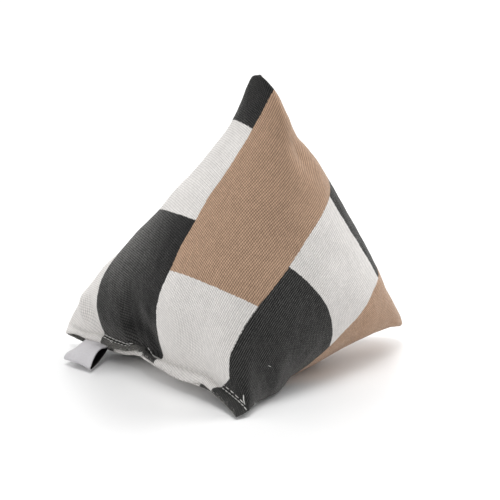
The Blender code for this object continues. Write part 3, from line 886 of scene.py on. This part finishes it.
def label_lines(at, across, along):
    """Middle line of the folded ribbon at each place across it, out over the fold and back."""
    share = np.linspace(LABEL_PATH[0][0], 1, along)
    out, drop, opening = curve(LABEL_PATH, share).T
    mid = np.stack([out, -drop], 1)
    nrm = unit(np.stack([-np.gradient(mid[:, 1]), np.gradient(mid[:, 0])], 1))
    tip = unit(mid[-1] - mid[-2])
    turn = np.radians(np.linspace(LABEL_FOLD, -LABEL_FOLD, FOLD_POINTS))
    rows = []
    for w in np.linspace(0, 1, across):
        wide = LABEL_OPEN_L * (1 - w) + LABEL_OPEN_F * w
        gap = opening * np.where(share < 0.1, 1, 1 + (wide - 1) * np.sin(np.pi * np.clip(share, 0, 1)))
        top = mid + nrm * (gap * LABEL_ABOVE)[:, None]
        low = mid - nrm * (gap * (1 - LABEL_ABOVE))[:, None]
        centre = (top[-1] + low[-1]) / 2
        fold = centre + gap[-1] / 2 * (np.outer(np.cos(turn), tip) + np.outer(np.sin(turn), nrm[-1]))
        line = np.concatenate([top, fold, low[::-1]])
        side = unit(np.gradient(line, axis=0))
        side = np.stack([-side[:, 1], side[:, 0]], 1)
        u = LABEL_FROM + (LABEL_TO - LABEL_FROM) * w
        s = 1 + (body_s[-1] - 1) * LABEL_EDGE
        start = (at(u, s)[0] + at(1 - u, s)[0]) / 2 - LABEL_SINK * UP
        way = unit(LABEL_TOWARD_L * (1 - w) + LABEL_TOWARD_F * w)
        fall = (LABEL_DROP_L * (1 - w) + LABEL_DROP_F * w - 1) * np.interp(line[:, 0], out, drop)
        place = start + np.outer(line[:, 0], way) + np.outer(line[:, 1] - fall, UP)
        rows.append((place, np.outer(side[:, 0], way) + np.outer(side[:, 1], UP), line))
    return rows


def make_label(at):
    """The folded ribbon with its thickness, and its length when laid flat, in mm."""
    across = LABEL_ACROSS
    rows = label_lines(at, across, LABEL_ALONG)
    line = rows[across // 2][2]
    mid = np.array([r[0] for r in rows])
    out = np.array([r[1] for r in rows])
    count = mid.shape[1]
    # a slack ribbon: shallow waves across it and a slight curl of its edges
    w = np.linspace(-1, 1, across)[:, None]
    t = np.linspace(0, 1, count)[None, :]
    free = np.sin(np.pi * np.clip(t, 0, 1))
    wave = LABEL_WAVE * np.sin(2.1 * w + 9 * t) * free + LABEL_CURL * (w ** 4) * free
    mid = mid + wave[..., None] * out
    points = np.array([mid + out * LABEL_THICK / 2, mid - out * LABEL_THICK / 2])
    points[..., 2] = np.maximum(points[..., 2], LABEL_LOWEST)
    faces, uvs, inner = [], [], []
    length = np.r_[0, np.cumsum(np.linalg.norm(np.diff(line, axis=0), axis=1))]

    def put(*corners):
        """A face from the skin, the place across and the place along of each corner."""
        faces.append(tuple((k * across + i) * count + j for k, i, j in corners))
        uvs.extend((i * LABEL_WIDTH / (across - 1), length[j]) for _, i, j in corners)
        inner.extend([float(all(k == 1 for k, _, _ in corners))] * len(corners))

    for i in range(across - 1):
        for j in range(count - 1):
            put((0, i, j), (0, i + 1, j), (0, i + 1, j + 1), (0, i, j + 1))
            put((1, i, j), (1, i, j + 1), (1, i + 1, j + 1), (1, i + 1, j))
        put((0, i, 0), (1, i, 0), (1, i + 1, 0), (0, i + 1, 0))
        put((0, i, count - 1), (0, i + 1, count - 1), (1, i + 1, count - 1), (1, i, count - 1))
    for j in range(count - 1):
        put((0, 0, j), (0, 0, j + 1), (1, 0, j + 1), (1, 0, j))
        put((0, across - 1, j), (1, across - 1, j), (1, across - 1, j + 1), (0, across - 1, j + 1))
    ob = new_mesh("label_ribbon", points, faces)
    layer = ob.data.uv_layers.new(name="ribbon")
    layer.data.foreach_set("uv", np.array(uvs, dtype=np.float32).ravel())
    float_attribute(ob.data, "inner", inner)
    ob.data.materials.append(ribbon_satin())
    return ob, length[-1]


def ribbon_satin():
    mat = bpy.data.materials.new("label_ribbon")
    t = Nodes(mat)
    uv, x, y = t.uv("ribbon")
    weft = t.math("ABSOLUTE", t.math("SINE", t.math("MULTIPLY", y, np.pi / WEFT_PITCH)))
    warp = t.math("ABSOLUTE", t.math("SINE", t.math("MULTIPLY", x, np.pi / WARP_PITCH)))
    from_edge = t.math("MINIMUM", x, t.math("SUBTRACT", LABEL_WIDTH, x))
    selvedge = t.range(from_edge, 0.0, SELVEDGE, 1.0, 0.0)
    height = t.math("MULTIPLY_ADD", warp, 0.35, weft)
    height = t.math("MULTIPLY_ADD", selvedge, 0.8, height)
    shade = t.range(t.noise(uv, 0.6, 3.0), 0.3, 0.7, 0.95, 1.03)
    shade = t.math("MULTIPLY", shade, t.range(selvedge, 0.0, 1.0, 1.0, 0.88))
    shade = t.math("MULTIPLY", shade, t.range(weft, 0.0, 1.0, 0.95, 1.01))
    t.colour(t.mix(t.attribute("inner"), t.tinted(rgba(RIBBON_COLOUR), shade), rgba(RIBBON_INSIDE)))
    t.bump(height, RIBBON_BUMP, 0.6)
    t.finish(RIBBON_FINISH)
    return mat


def make_floor():
    a = FLOOR_HALF
    mesh = bpy.data.meshes.new("floor")
    mesh.from_pydata([(-a, -a, 0), (a, -a, 0), (a, a, 0), (-a, a, 0)], [], [(0, 1, 2, 3)])
    ob = bpy.data.objects.new("floor", mesh)
    bpy.context.scene.collection.objects.link(ob)
    ob.location.z = -FLOOR_DROP
    mat = bpy.data.materials.new("floor_white")
    Nodes(mat).finish(FLOOR_FINISH)
    mesh.materials.append(mat)


def area_light(name, place, size, power):
    data = bpy.data.lights.new(name, "AREA")
    data.shape = "DISK"
    data.size = size
    data.energy = power
    ob = bpy.data.objects.new(name, data)
    bpy.context.scene.collection.objects.link(ob)
    ob.location = place
    ob.rotation_mode = "QUATERNION"
    ob.rotation_quaternion = (Vector(LIGHT_AIM) - Vector(place)).to_track_quat("-Z", "Y")


def make_studio():
    make_floor()
    world = bpy.data.worlds.new("studio")
    bpy.context.scene.world = world
    world.use_nodes = True
    background = world.node_tree.nodes["Background"]
    background.inputs["Color"].default_value = (1.0, 1.0, 1.0, 1.0)
    background.inputs["Strength"].default_value = WORLD_STRENGTH
    for light in LIGHTS:
        area_light(*light)
    camera = bpy.data.cameras.new("camera")
    camera.sensor_width = SENSOR
    camera.lens = FOCAL_PIXELS / FRAME_PIXELS * SENSOR
    ob = bpy.data.objects.new("camera", camera)
    bpy.context.scene.collection.objects.link(ob)
    tilt = np.radians(CAMERA_ELEVATION)
    ob.location = CAMERA_TARGET + Vector((0, -np.cos(tilt), np.sin(tilt))) * CAMERA_DISTANCE
    ob.rotation_euler = (np.pi / 2 - tilt, 0, 0)
    bpy.context.scene.camera = ob
    bpy.context.scene.view_settings.view_transform = "Standard"


body, body_points, body_u, body_s = make_body()
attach(body, "root")
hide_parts("cushion_body")

surface = skin(body_points, body_u, body_s)
for piece in (make_stitches(surface), make_fuzz(surface)):
    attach(piece, "root")
label, label_length = make_label(surface)
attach(label, "root")
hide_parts("label_loop")

make_studio()
